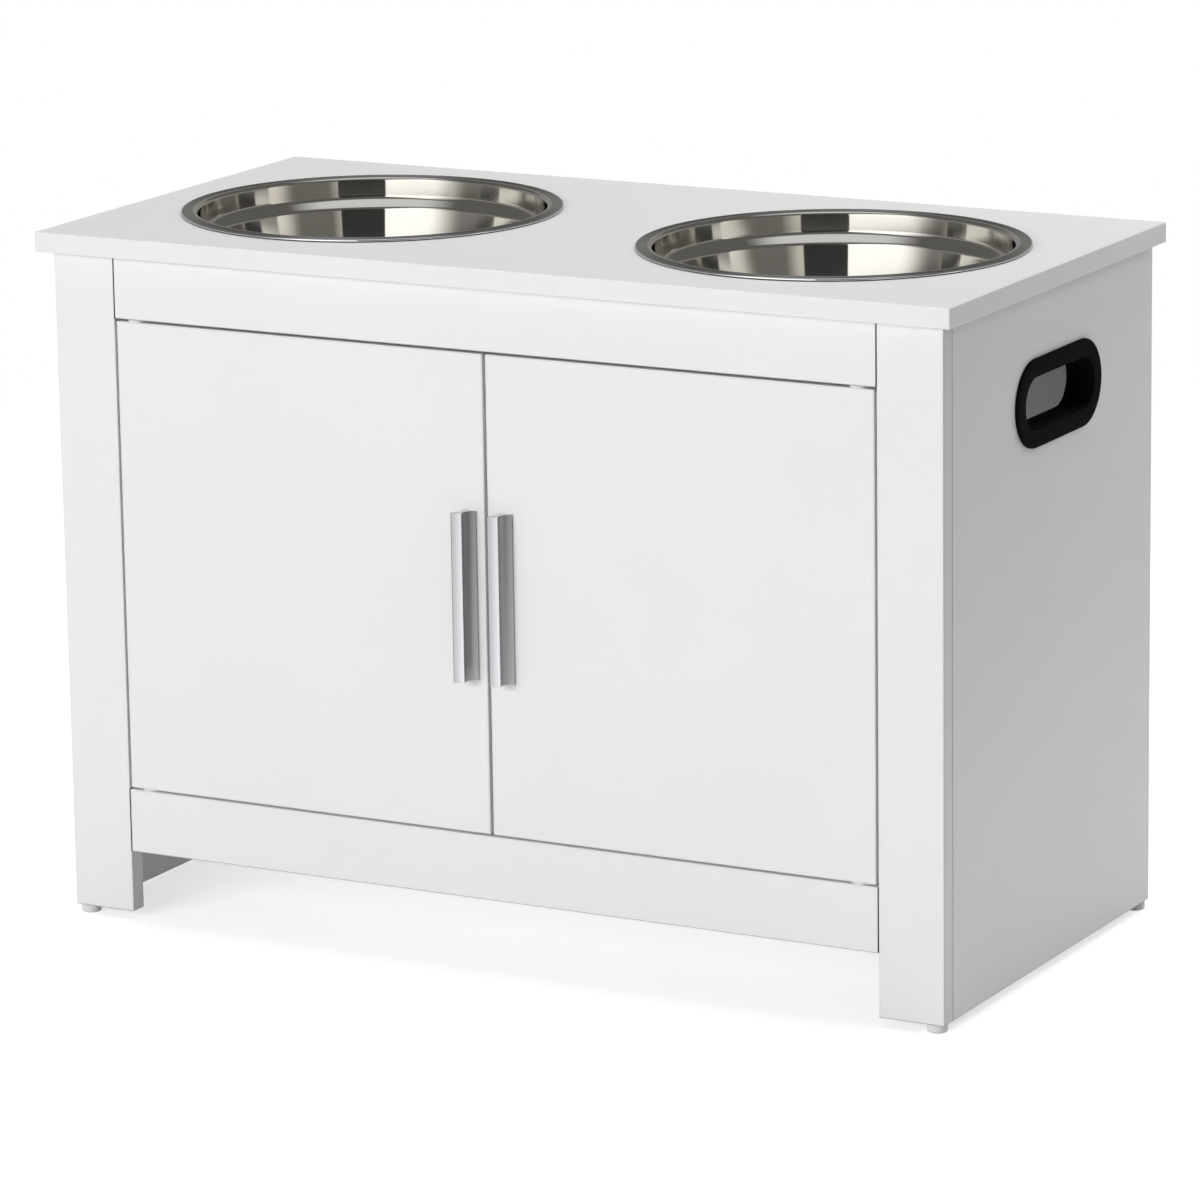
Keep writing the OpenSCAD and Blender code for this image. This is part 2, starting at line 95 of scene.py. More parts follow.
def add_node(tree, kind, settings, sockets, output=0):
    """Adds a node, sets its settings, then gives its sockets their values or links."""
    made = tree.nodes.new("ShaderNode" + kind)
    for name, value in settings.items():
        setattr(made, name, value)
    for socket, value in sockets.items():
        if isinstance(value, Wire):
            tree.links.new(value.socket, made.inputs[socket])
        else:
            made.inputs[socket].default_value = value
    return Wire(made.outputs[output]) if made.outputs else None


def blank(name):
    """A new material and its empty node tree."""
    made = bpy.data.materials.new(name)
    made.use_nodes = True
    made.node_tree.nodes.clear()
    return made, made.node_tree


def close(tree, **sockets):
    """Ends a material in a Principled surface with these sockets."""
    names = {name.replace("_", " "): value for name, value in sockets.items()}
    shader = add_node(tree, "BsdfPrincipled", {}, names)
    add_node(tree, "OutputMaterial", {}, {"Surface": shader})


def place(tree):
    """Where a point is on the part at rest, in metres."""
    return add_node(tree, "TexCoord", {}, {}, "Object")


def facing(tree):
    """Which way a surface faces on the part at rest, as x, y and z from -1 to 1."""
    return apart(add_node(tree, "TexCoord", {}, {}, "Normal"))


def apart(vector):
    """The x, y and z of a vector."""
    split = add_node(vector.tree, "SeparateXYZ", {}, {0: vector})
    return [Wire(out) for out in split.socket.node.outputs]


def most(masks):
    """The highest of several masks at each point."""
    highest = masks[0]
    for mask in masks[1:]:
        highest = highest.math("MAXIMUM", mask)
    return highest


def grain(vector, scale, detail=2.0, roughness=0.5, stretch=(1, 1, 1)):
    """Soft noise from 0 to 1, with scale features to the metre, drawn out by stretch."""
    if stretch != (1, 1, 1):
        vector = add_node(
            vector.tree, "VectorMath", {"operation": "MULTIPLY"}, {0: vector, 1: stretch}
        )
    return add_node(
        vector.tree, "TexNoise", {},
        {"Vector": vector, "Scale": scale, "Detail": detail, "Roughness": roughness},
    )


def rgba(colour):
    """A link to a colour as it is, or three numbers with the fourth that a socket needs."""
    return colour if isinstance(colour, Wire) else (*colour, 1.0)


def blend(factor, first, second):
    """A colour that goes from first to second as factor goes from 0 to 1. The sockets
    for colours go by number, because a Mix node has three sets with the same names."""
    first_colour, second_colour, mixed_colour = 6, 7, 2
    return add_node(
        factor.tree, "Mix", {"data_type": "RGBA", "clamp_factor": True},
        {"Factor": factor, first_colour: rgba(first), second_colour: rgba(second)},
        mixed_colour,
    )


def relief(height, depth, strength=1.0, under=None):
    """A bump that rises by depth metres as height goes from 0 to 1, laid over the bump
    that is given as under."""
    sockets = {"Height": height, "Distance": depth, "Strength": strength}
    if under is not None:
        sockets["Normal"] = under
    return add_node(height.tree, "Bump", {}, sockets)


def dress(material, *names):
    """Gives CAD nodes one material all over."""
    for name in names:
        nodes[name].data.materials.clear()
        nodes[name].data.materials.append(material)


MM = 0.001
WHITE = (0.838, 0.84, 0.843)
GLUE = (0.60, 0.56, 0.47)
CORE = (0.36, 0.27, 0.18)
JOINT_SHADE_PAINTED = (0.016, 0.014, 0.012)
TAPE_PAINTED_SHADE = (0.62, 0.62, 0.62)
ARRIS_SHADE_PAINTED = (0.22, 0.215, 0.205)
GLUE_LINE_IN = 0.72 * MM
GLUE_LINE_HALF = 0.07 * MM
JOINT_LINE_HALF = 0.15 * MM
LINE_SOFT = 0.10 * MM
SAWN_SKIN = 0.10 * MM
CUT_OUT_IN = 2 * MM
WIDEST_JOINT = 0.6 * MM
THICKNESS_AXES = {"side": 0, "front": 1, "flat": 2}


def laminate(node, lies, raw=(), butted=(), seam_shows=0.35):
    """White laminate for a board, whose thickness lies along the axis given for lies.
    raw names the narrow sides, such as -x, where the sawn core shows instead of tape,
    as it does in every cut-out. butted names the boards that meet it, along which a
    near-black line of painted shade is drawn. seam_shows is how plainly the line of glue
    shows inside the tape. Bottom edges are nicked; those of the frame and the sides also
    get a dark line of painted shade along the arris, and the tape on a stile's outer
    side gets painted shade, deepest near the front."""
    low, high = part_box(node)
    material, tree = blank("laminate_" + node)
    where = place(tree)
    along = apart(where)
    thickness = THICKNESS_AXES[lies]

    cut_out = 1 - abs(facing(tree)[thickness]).smooth(0.3, 0.6)
    seams, sawn = [], []
    for axis in range(3):
        if axis == thickness:
            continue
        middle, half = (low[axis] + high[axis]) / 2, (high[axis] - low[axis]) / 2
        cut_out = cut_out * along[axis].near(middle, half - CUT_OUT_IN, 0.5 * MM)
        for sign, bound in (("-", low[axis]), ("+", high[axis])):
            inward = along[axis] - bound if sign == "-" else bound - along[axis]
            if sign + "xyz"[axis] in raw:
                sawn.append(1 - inward.smooth(SAWN_SKIN, 3 * SAWN_SKIN))
            else:
                seams.append(inward.near(GLUE_LINE_IN, GLUE_LINE_HALF, LINE_SOFT))
    core = most(sawn + [cut_out])

    cloud = grain(where, 9.0, 2.0)
    pearl = grain(where, 950.0, 2.0, 0.55)
    fleck = grain(where, 2600.0, 0.0).smooth(0.70, 0.80)
    chips = grain(where, 420.0, 3.0, 0.7)
    board = blend(chips.smooth(0.35, 0.65), [c * 0.6 for c in CORE], CORE)
    colour = blend(cloud.smooth(0.3, 0.7), WHITE, [c * 0.988 for c in WHITE])
    colour = blend(fleck * 0.05, colour, GLUE)
    colour = blend(most(seams) * seam_shows, colour, GLUE)
    colour = blend(core, colour, board)
    if butted:
        # painted shade along the bottom arris of the frame and the side boards
        bottom_arris_shade = 1 - (along[2] - low.z).smooth(0.3 * MM, 0.7 * MM)
        colour = blend(bottom_arris_shade * 0.75, colour, ARRIS_SHADE_PAINTED)
    if lies != "flat":
        low_edge = 1 - (along[2] - low.z).smooth(0.2 * MM, 1.0 * MM)
        nicked = chips.smooth(0.64, 0.70) * low_edge
        colour = blend(nicked * 0.7, colour, board)
    if butted and lies == "front":
        # painted shade on the tape of a stile's outer side, deeper near the front
        outer_side = (facing(tree)[0] * math.copysign(1, low.x + high.x)).smooth(0.8, 0.95)
        wrap_shade = 1 - (along[1] - low.y).smooth(0.6 * MM, 2.6 * MM)
        colour = blend(outer_side * (0.3 + wrap_shade * 0.5), colour, TAPE_PAINTED_SHADE)
    # a near-black line of painted shade along each joint with a butted board
    for other in butted:
        other_low, other_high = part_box(other)
        top, bottom = min(high.z, other_high.z), max(low.z, other_low.z)
        for axis in (0, 1):
            for edge, other_edge in ((low[axis], other_high[axis]), (high[axis], other_low[axis])):
                if abs(edge - other_edge) < WIDEST_JOINT:
                    painted_joint_shade = (
                        along[axis].near(edge, JOINT_LINE_HALF, JOINT_LINE_HALF)
                        * along[2].near((top + bottom) / 2, (top - bottom) / 2, LINE_SOFT)
                    )
                    colour = blend(painted_joint_shade, colour, JOINT_SHADE_PAINTED)
    close(
        tree, Base_Color=colour, Roughness=0.36 + cloud * 0.05 + pearl * 0.08,
        Normal=relief(pearl + chips * core * 6.0, 0.012 * MM, 0.7),
    )
    dress(material, node)


laminate("left_side_panel", "side", butted=("left_stile",))
laminate("right_side_panel", "side", butted=("right_stile",))


# ---------------------------------------------------------------- Front frame
# Two stiles and two rails of the same board, drawn together by cams and lined up by
# dowels. The rails end just short of the stiles, and the hairline there is painted near-black as
# shade.
for side in ("left", "right"):
    laminate(side + "_stile", "front", butted=("top_rail", "bottom_rail", side + "_side_panel"))
for name in ("top_rail", "bottom_rail"):
    laminate(name, "front", butted=("left_stile", "right_stile"))


# ---------------------------------------------------------------- Floor and top
# The floor is held between the sides by cams and dowels, so its ends and its front
# are left sawn. The top board lies over everything, with a round cut-out for each bowl.
laminate("floor_panel", "flat", raw=("-x", "+x", "-y"))
laminate("top_board", "flat")


# ---------------------------------------------------------------- Back panel
# 3 mm hardboard, painted white on both faces and slid into grooves in the sides and
# the top. Its pressed fibres show through the paint.
PAINT_DULL = (0.70, 0.695, 0.68)
PAINT_CLEAN = (0.775, 0.77, 0.755)


def hardboard():
    material, tree = blank("painted_hardboard")
    where = place(tree)
    fibre = grain(where, 130.0, 4.0, 0.65, (1.0, 1.0, 2.2))
    cloud = grain(where, 7.0, 2.0)
    colour = blend(cloud * 0.6 + fibre * 0.4, PAINT_DULL, PAINT_CLEAN)
    close(
        tree, Base_Color=colour, Roughness=0.55 + fibre * 0.12,
        Normal=relief(fibre, 0.05 * MM, 0.5),
    )
    return material


dress(hardboard(), "back_panel")


# ---------------------------------------------------------------- Cams and bolts
# Die-cast zinc cams, let into the boards' hidden faces, pull plated steel bolts that
# are screwed into the boards they meet. The nails of the glides are plated alike.
CAST_ZINC = (0.52, 0.53, 0.55)
PLATED_STEEL = (0.66, 0.66, 0.64)


def plain_metal(name, colour, rough):
    """Cast or plated metal, finely pitted, and darker and rougher here and there."""
    material, tree = blank(name)
    where = place(tree)
    pits = grain(where, 1500.0, 3.0, 0.6)
    dull = grain(where, 120.0, 2.0)
    tone = blend(dull, colour, [c * 0.82 for c in colour])
    close(
        tree, Base_Color=tone, Metallic=1.0, Roughness=rough + dull * 0.15,
        Normal=relief(pits, 0.03 * MM, 0.5),
    )
    return material


dress(plain_metal("cast_zinc", CAST_ZINC, 0.34), "cam_locks")
dress(plain_metal("plated_steel", PLATED_STEEL, 0.22), "cam_bolts", "glide_nails")


# ---------------------------------------------------------------- Dowels
# Beech dowels, 6 mm thick, that reach into both boards of a joint and keep them from
# turning on each other.
BEECH_DARK = (0.55, 0.38, 0.21)
BEECH_PALE = (0.70, 0.53, 0.33)


def beech():
    material, tree = blank("beech")
    where = place(tree)
    streak = grain(where, 300.0, 3.0, 0.6, (1.0, 1.0, 0.15))
    colour = blend(streak, BEECH_DARK, BEECH_PALE)
    close(
        tree, Base_Color=colour, Roughness=0.55 + streak * 0.15,
        Normal=relief(streak, 0.06 * MM, 0.6),
    )
    return material


dress(beech(), "dowels")


# ---------------------------------------------------------------- Grips
# Each hand-hole is lined by a moulded black grip: a flange on the outer face and a
# grooved sleeve through the board, held by a ring snapped over it inside.
FLANGE_R = 26.0
FLANGE_H = 2.2
FLANGE_ROUND = 1.0
HOLE_R = 15.5
HALF_RUN = 32.5
SLEEVE_T = 2.0
SLEEVE_DEPTH = 16.0
GROOVE_START = 3.0
GROOVE_PITCH = 2.2
GROOVE_COUNT = 5
GROOVE_W = 1.0
GROOVE_DEPTH = 0.6
GRIP_CORNER = 0.22
TURN_STEPS = 28
TURN_MARGIN = 0.6
PLASTIC_BLACK = (0.006, 0.006, 0.0065)
DUSTY_BLACK = (0.009, 0.009, 0.0095)


def arc(centre, radius, start, end, steps):
    """Points round an arc, between two bearings in degrees."""
    return [
        (centre[0] + radius * math.cos(a), centre[1] + radius * math.sin(a))
        for a in (math.radians(start + (end - start) * i / steps) for i in range(steps + 1))
    ]


def eased(outline, radius, sharp=25.0, most_of_side=0.45, steps=3):
    """Rounds each corner of a closed outline that turns by more than sharp degrees. A
    round starts radius away from the corner, or less where a side is short."""
    full = []
    for i, corner in enumerate(outline):
        before, at, after = (Vector(outline[k % len(outline)]) for k in (i - 1, i, i + 1))
        if (at - before).angle(after - at) < math.radians(sharp):
            full.append(corner)
            continue
        start = at + (before - at) * min(radius / (before - at).length, most_of_side)
        end = at + (after - at) * min(radius / (after - at).length, most_of_side)
        for t in (k / steps for k in range(steps + 1)):
            full.append(tuple(start.lerp(at, t).lerp(at.lerp(end, t), t)))
    return full


def make_piece(name, verts, faces, material, crease=30.0):
    """A smooth mesh object with sharp edges where its faces turn by more than crease."""
    mesh = bpy.data.meshes.new(name)
    mesh.from_pydata(verts, [], faces)
    mesh.validate()
    shape = bmesh.new()
    shape.from_mesh(mesh)
    bmesh.ops.recalc_face_normals(shape, faces=shape.faces)
    shape.to_mesh(mesh)
    shape.free()
    mesh.shade_smooth()
    mesh.set_sharp_from_angle(angle=math.radians(crease))
    mesh.materials.append(material)
    made = bpy.data.objects.new(name, mesh)
    bpy.context.scene.collection.objects.link(made)
    return made


def skinned(name, rings, material, closed):
    """A skin through rings of points, which joins up when closed and is capped if not."""
    size, count = len(rings[0]), len(rings)
    faces = []
    for k in range(count if closed else count - 1):
        a, b = k * size, (k + 1) % count * size
        for i in range(size):
            j = (i + 1) % size
            faces.append((a + i, a + j, b + j, b + i))
    if not closed:
        faces.append(tuple(range(size)))
        faces.append(tuple(range((count - 1) * size, count * size)))
    return make_piece(name, [point for ring in rings for point in ring], faces, material)


def grip_section():
    """Distance from the slot's middle line and height over the panel's outer face."""
    sleeve_r = HOLE_R + SLEEVE_T
    outline = [(HOLE_R, FLANGE_H)]
    for i in range(GROOVE_COUNT):
        top = -GROOVE_START - i * GROOVE_PITCH
        outline += [
            (HOLE_R, top), (HOLE_R + GROOVE_DEPTH, top),
            (HOLE_R + GROOVE_DEPTH, top - GROOVE_W), (HOLE_R, top - GROOVE_W),
        ]
    outline += [(HOLE_R, -SLEEVE_DEPTH), (sleeve_r, -SLEEVE_DEPTH), (sleeve_r, 0), (FLANGE_R, 0)]
    outline += arc((FLANGE_R - FLANGE_ROUND, FLANGE_H - FLANGE_ROUND), FLANGE_ROUND, 0, 90, 8)
    return eased(outline, GRIP_CORNER)


def round_slot():
    """Stations round the hand-hole: a point on its middle line and the way out. One a
    little way into each straight run keeps the shading of the turns off it."""
    stations = []
    for end in (1, -1):
        for i in range(TURN_STEPS + 1):
            a = math.pi * (i / TURN_STEPS - 0.5)
            stations.append(((end * HALF_RUN, 0.0), (end * math.cos(a), end * math.sin(a))))
        for u in (end * (HALF_RUN - TURN_MARGIN), end * (TURN_MARGIN - HALF_RUN)):
            stations.append(((u, 0.0), (0.0, float(end))))
    return stations


def black_plastic(parting_z):
    """Spark-eroded black plastic, with a fine parting line at one height."""
    material, tree = blank("black_plastic")
    where = place(tree)
    spark = grain(where, 2200.0, 2.0, 0.6)
    dust = grain(where, 60.0, 3.0)
    colour = blend(dust, PLASTIC_BLACK, DUSTY_BLACK)
    parting = apart(where)[2].near(parting_z, 0.06 * MM, 0.10 * MM)
    close(
        tree, Base_Color=colour, Roughness=0.68 + spark * 0.12, Specular_IOR_Level=0.03,
        Normal=relief(parting, 0.08 * MM, 1.0, relief(spark, 0.02 * MM, 0.6)),
    )
    return material


grip_low, grip_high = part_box("right_grip")
grip_at = (grip_low + grip_high) / 2
grip_at.x = grip_high.x - FLANGE_H * MM
moulded_black = black_plastic(grip_at.z)
for side, name in ((-1, "left_grip"), (1, "right_grip")):
    rings = [
        [
            (
                side * (grip_at.x + h * MM),
                grip_at.y + (middle[0] + out[0] * r) * MM,
                grip_at.z + (middle[1] + out[1] * r) * MM,
            )
            for r, h in grip_section()
        ]
        for middle, out in round_slot()
    ]
    grip = skinned(name + "_moulding", rings, moulded_black, closed=True)
    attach(grip, "cabinet")
    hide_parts(name)
dress(moulded_black, "left_grip_ring", "right_grip_ring")


# ---------------------------------------------------------------- White mouldings
# The glides under the corners, the flanged bushes that turn on the pivot pins, and
# the housing of the catch are moulded in plain white plastic.
PLASTIC_DULL = (0.74, 0.74, 0.72)
PLASTIC_WHITE = (0.79, 0.79, 0.775)


def white_plastic():
    material, tree = blank("white_plastic")
    where = place(tree)
    spark = grain(where, 1800.0, 2.0, 0.5)
    cloud = grain(where, 40.0, 2.0)
    colour = blend(cloud, PLASTIC_DULL, PLASTIC_WHITE)
    close(
        tree, Base_Color=colour, Roughness=0.34 + spark * 0.10,
        Normal=relief(spark, 0.012 * MM, 0.5),
    )
    return material


moulded_white = white_plastic()
dress(moulded_white, "glides", "magnetic_catch", "left_pivot_bushes", "right_pivot_bushes")


# ---------------------------------------------------------------- Catch and pins
# Two ferrite blocks sit in the catch behind the top rail, and a thin steel plate on
# each door meets them. The doors turn on bright 5 mm pins, and the screws are as bright.
FERRITE_DARK = (0.020, 0.019, 0.019)
FERRITE_GREY = (0.055, 0.052, 0.050)
BRIGHT_STEEL = (0.70, 0.70, 0.69)


def ferrite():
    material, tree = blank("ferrite")
    where = place(tree)
    grit = grain(where, 900.0, 4.0, 0.7)
    colour = blend(grit, FERRITE_DARK, FERRITE_GREY)
    close(
        tree, Base_Color=colour, Roughness=0.5 + grit * 0.2,
        Normal=relief(grit, 0.05 * MM, 0.6),
    )
    return material


dress(ferrite(), "catch_magnets")
dress(
    plain_metal("bright_steel", BRIGHT_STEEL, 0.16),
    "left_pivot_pins", "right_pivot_pins", "catch_screws", "left_pull_screws",
    "right_pull_screws", "left_strike_plate", "right_strike_plate",
    "left_strike_screw", "right_strike_screw",
)


# ---------------------------------------------------------------- Doors
# Two inset doors of the same board, bored at their outer ends for the bushes.
laminate("left_door", "front", seam_shows=0.6)
laminate("right_door", "front", seam_shows=0.6)


# ---------------------------------------------------------------- Pulls
# Lengths of one extruded aluminium section, clear anodised to a satin finish and
# screwed on from inside the doors. Both stand the same way round: a foot on the door,
# a web with two hollow sides, and a lip to pull by. The shifts set each one's place.
FOOT_W = 7.5
FOOT_T = 0.9
LIP_LEFT = -1.9
LIP_W = 7.2
LIP_T = 1.2
PULL_DEPTH = 12.0
PULL_CORNER = 0.3
RIGHT_HOLLOW = ((10.05, 7.2), 6.3)
LEFT_HOLLOW = ((-8.35, 4.05), 9.3)
PULL_SHIFTS = {"left": 0.3, "right": 0.8}


def web_side(hollow, bottom, top, steps=10):
    """Points up one side of the web, between two distances from the door. A hollow is
    the centre and radius of its arc, and the web touches the half that faces it."""
    (centre_u, centre_v), radius = hollow
    towards_web = -math.copysign(1, centre_u)
    return [
        (centre_u + towards_web * math.sqrt(radius ** 2 - (v - centre_v) ** 2), v)
        for v in (bottom + (top - bottom) * i / steps for i in range(steps + 1))
    ]


def pull_section():
    """Distance across the door from the foot's left edge, and out from the door."""
    under_lip = PULL_DEPTH - LIP_T
    lip_right = LIP_LEFT + LIP_W
    right_web = web_side(RIGHT_HOLLOW, FOOT_T + 0.1, under_lip - 0.12)
    left_web = web_side(LEFT_HOLLOW, FOOT_T, under_lip)
    outline = (
        [(0.0, 0.0), (FOOT_W, 0.0), (FOOT_W, FOOT_T)] + right_web
        + [(lip_right, PULL_DEPTH), (LIP_LEFT, PULL_DEPTH), (LIP_LEFT, under_lip)]
        + left_web[::-1] + [(0.0, FOOT_T)]
    )
    return eased(outline, PULL_CORNER)


LIP_PAINTED_SHADE = (0.52, 0.53, 0.545)
LIP_PAINTED_LIT = (0.80, 0.81, 0.83)
DIE_MARK = (0.45, 0.455, 0.465)
ARRIS_PAINTED_HIGHLIGHT = (0.93, 0.935, 0.94)
WEB_PAINTED_SHADE = (0.33, 0.337, 0.345)
LEFT_ARRIS_PAINTED_SHADE = (0.10, 0.10, 0.10)


def satin_aluminium(name, lip_left_x, front_y):
    """Die lines run up the length, and saw marks cross the two ends. The lip's face gets
    painted shade that lightens towards the web, a dark left arris of painted shade and a
    painted highlight on the right arris, and behind the lip the foot and the web get painted
    shade."""
    material, tree = blank(name)
    where = place(tree)
    x, y, _ = apart(where)
    turned_x, _, turned_z = facing(tree)
    from_left = x - lip_left_x
    behind_lip = (y - front_y).smooth(0.5 * MM, 0.8 * MM)
    end = abs(turned_z).smooth(0.8, 0.95)
    left_arris_shade = 1 - from_left.smooth(0.3 * MM, 0.7 * MM)
    right_arris_highlight = turned_x.smooth(0.15, 0.5) * (1 - behind_lip)
    die_line = grain(where, 1500.0, 2.0, 0.6, (1.0, 1.0, 0.002))
    saw_mark = grain(where, 1900.0, 2.0, 0.6, (0.06, 1.0, 1.0))
    cloud = grain(where, 30.0, 2.0)
    # painted shade across the lip's face, lightening towards the web
    colour = blend(from_left.smooth(0.5 * MM, LIP_W * MM), LIP_PAINTED_SHADE, LIP_PAINTED_LIT)
    colour = blend(die_line * 0.15, colour, DIE_MARK)
    # a painted highlight on the lip's right arris
    colour = blend(right_arris_highlight, colour, ARRIS_PAINTED_HIGHLIGHT)
    # painted shade on the foot and the web behind the lip
    colour = blend(behind_lip * (1 - end) * 0.85, colour, WEB_PAINTED_SHADE)
    # painted shade along the lip's left arris
    colour = blend(left_arris_shade * 0.8, colour, LEFT_ARRIS_PAINTED_SHADE)
    marks = die_line * (1 - end) + saw_mark * end
    close(
        tree, Base_Color=colour, Metallic=1.0, Roughness=0.34 + marks * 0.06 + cloud * 0.02,
        Anisotropic=0.8, Normal=relief(marks, 0.0015 * MM, 0.5),
    )
    return material


for side in ("left", "right"):
    low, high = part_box(side + "_pull")
    foot_x = low.x + (PULL_SHIFTS[side] - LIP_LEFT) * MM
    rings = [
        [(foot_x + u * MM, high.y - v * MM, z) for u, v in pull_section()]
        for z in (low.z, high.z)
    ]
    anodised = satin_aluminium(side + "_pull_anodised", foot_x + LIP_LEFT * MM, low.y)
    pull = skinned(side + "_pull_section", rings, anodised, closed=False)
    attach(pull, side + "_leaf")
    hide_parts(side + "_pull")


# ---------------------------------------------------------------- Bowls
# Pressed from 0.7 mm stainless steel and polished round and round: a flat floor, a
# shoulder that hangs in the cut-out, and a rim with a rolled bead on the top board.
BOWL_X = 155 * MM
RIM_R = 115.5
RIM_H = 1.8
BEAD_R = RIM_H / 2
BOWL_DEPTH = 62.0
STEEL_T = 0.7
LIP_ROLL_R = 2.5
LIP_ROLL_X = RIM_R - 7.8
SHOULDER_TAPER = 7
SHOULDER_RUN = 8.93
SHOULDER_R = 4.5
LEDGE_SLOPE = 40
LEDGE_RUN = 4.5
LEDGE_R = 4.0
WALL_TAPER = 12
CORNER_R = 13.0
BOWL_TURNS = 256
DEGREES_A_STEP = 4


def drawn(start, heading, *runs):
    """An outline drawn from start, facing heading. A run is a length to go straight,
    or a radius and the angle to bend through, which is positive to the left."""
    x, y = start
    points = [start]
    for run in runs:
        if not isinstance(run, tuple):
            x += run * math.cos(math.radians(heading))
            y += run * math.sin(math.radians(heading))
            points.append((x, y))
            continue
        radius, bend = run
        side = math.copysign(90, bend)
        middle = [
            c + radius * f(math.radians(heading + side))
            for c, f in ((x, math.cos), (y, math.sin))
        ]
        steps = math.ceil(abs(bend) / DEGREES_A_STEP)
        points += arc(middle, radius, heading - side, heading - side + bend, steps)[1:]
        x, y = points[-1]
        heading += bend
    return points


def bowl_skin(out, wall_run):
    """The skin that lies out millimetres outside the inner face, from rim to floor."""
    return drawn(
        (LIP_ROLL_X, RIM_H - out), 180,
        (LIP_ROLL_R - out, 90 - SHOULDER_TAPER), SHOULDER_RUN,
        (SHOULDER_R + out, LEDGE_SLOPE + SHOULDER_TAPER - 90), LEDGE_RUN,
        (LEDGE_R - out, 90 - WALL_TAPER - LEDGE_SLOPE), wall_run,
        (CORNER_R + out, WALL_TAPER - 90),
    )


def bowl_outline():
    """From the middle of the inner floor, over the rim, to the middle underneath."""
    short_by = bowl_skin(0.0, 0.0)[-1][1] + BOWL_DEPTH
    wall_run = short_by / math.cos(math.radians(WALL_TAPER))
    return (
        [(0.0, -BOWL_DEPTH)] + bowl_skin(0.0, wall_run)[::-1]
        + arc((RIM_R - BEAD_R, BEAD_R), BEAD_R, 90, -180, 20)
        + bowl_skin(STEEL_T, wall_run) + [(0.0, -BOWL_DEPTH - STEEL_T)]
    )


def supported(outline, reach=0.25):
    """Adds a point close to each end of every long straight run, so that the shading
    of a flat or a cone isn't bent by the curves beside it."""
    full = [outline[0]]
    for p, q in zip(outline, outline[1:]):
        length = math.dist(p, q)
        if length > 4 * reach:
            for t in (reach / length, 1 - reach / length):
                full.append((p[0] + (q[0] - p[0]) * t, p[1] + (q[1] - p[1]) * t))
        full.append(q)
    return full


def turned(name, outline, centre, turns, material):
    """An outline of radius and height, in millimetres, turned about a vertical axis."""
    verts, rings = [], []
    for radius, height in outline:
        z = centre[2] + height * MM
        if radius == 0.0:
            rings.append([len(verts)])
            verts.append((centre[0], centre[1], z))
            continue
        rings.append(list(range(len(verts), len(verts) + turns)))
        for i in range(turns):
            a = 2 * math.pi * i / turns
            verts.append((
                centre[0] + radius * MM * math.cos(a), centre[1] + radius * MM * math.sin(a), z
            ))
    faces = []
    for lower, upper in zip(rings, rings[1:]):
        for i in range(turns):
            j = (i + 1) % turns
            corners = [ring[k % len(ring)] for ring, k in (
                (lower, i), (lower, j), (upper, j), (upper, i)
            )]
            faces.append(list(dict.fromkeys(corners)))
    return make_piece(name, verts, faces, material)


SHEEN = (0.605, 0.585, 0.55)
SHEEN_PALE = (0.635, 0.618, 0.585)
FLANGE_DARK = (0.30, 0.30, 0.30)
FLANGE_PALE = (0.44, 0.44, 0.445)
BEAD_PAINTED_HIGHLIGHT = (0.80, 0.80, 0.80)
CONTACT_SHADOW_PAINTED = (0.03, 0.03, 0.03)
RUB_SCALE = 3500.0
RUB_TO_RADIAN = 0.004


def bowl_steel(name, centre_x, board_top):
    """Polished steel with fine rubbing marks that run round the bowl's axis. The flat
    flange inside the bead is satin and speckled, the bead carries a painted highlight, and
    its lower half, where it meets the board, gets a dark line of painted contact shadow."""
    material, tree = blank(name)
    where = place(tree)
    x, y, z = apart(where)
    x = x - centre_x
    radius = (x * x + y * y).math("SQRT")
    turn = y.math("ARCTAN2", x)
    track = add_node(tree, "CombineXYZ", {}, {0: radius, 1: z, 2: turn * RUB_TO_RADIAN})
    rub = grain(track, RUB_SCALE, 3.0, 0.7)
    rim = radius.smooth((LIP_ROLL_X + 0.3) * MM, (LIP_ROLL_X + 0.9) * MM)
    bead = radius.smooth((RIM_R - 1.0) * MM, (RIM_R - 0.7) * MM)
    flange = rim * (1 - bead)
    under_bead_shadow = rim * (1 - z.smooth(board_top + 0.45 * MM, board_top + 0.95 * MM))
    speck = grain(where, 700.0, 3.0, 0.75)
    wave = grain(where, 28.0, 1.0)
    haze = grain(where, 55.0, 3.0)
    colour = blend(haze, SHEEN, SHEEN_PALE)
    satin = blend(speck.smooth(0.35, 0.65), FLANGE_DARK, FLANGE_PALE)
    colour = blend(flange, colour, satin)
    # a painted highlight on the rolled bead
    colour = blend(rim - flange, colour, BEAD_PAINTED_HIGHLIGHT)
    # painted contact shadow on the lower half of the bead
    colour = blend(under_bead_shadow, colour, CONTACT_SHADOW_PAINTED)
    close(
        tree, Base_Color=colour, Metallic=1.0,
        Roughness=0.055 + haze * 0.03 + rub * 0.035 + flange * 0.26,
        Anisotropic=1.0, Anisotropic_Rotation=0.25,
        Normal=relief(wave, 0.05 * MM, 0.3),
    )
    return material


board_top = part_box("top_board")[1].z
for side, x in (("left", -BOWL_X), ("right", BOWL_X)):
    bowl = turned(
        side + "_bowl_steel", supported(bowl_outline()), (x, 0.0, board_top), BOWL_TURNS,
        bowl_steel(side + "_bowl_polish", x, board_top),
    )
    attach(bowl, side + "_dish")
    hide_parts(side + "_bowl")


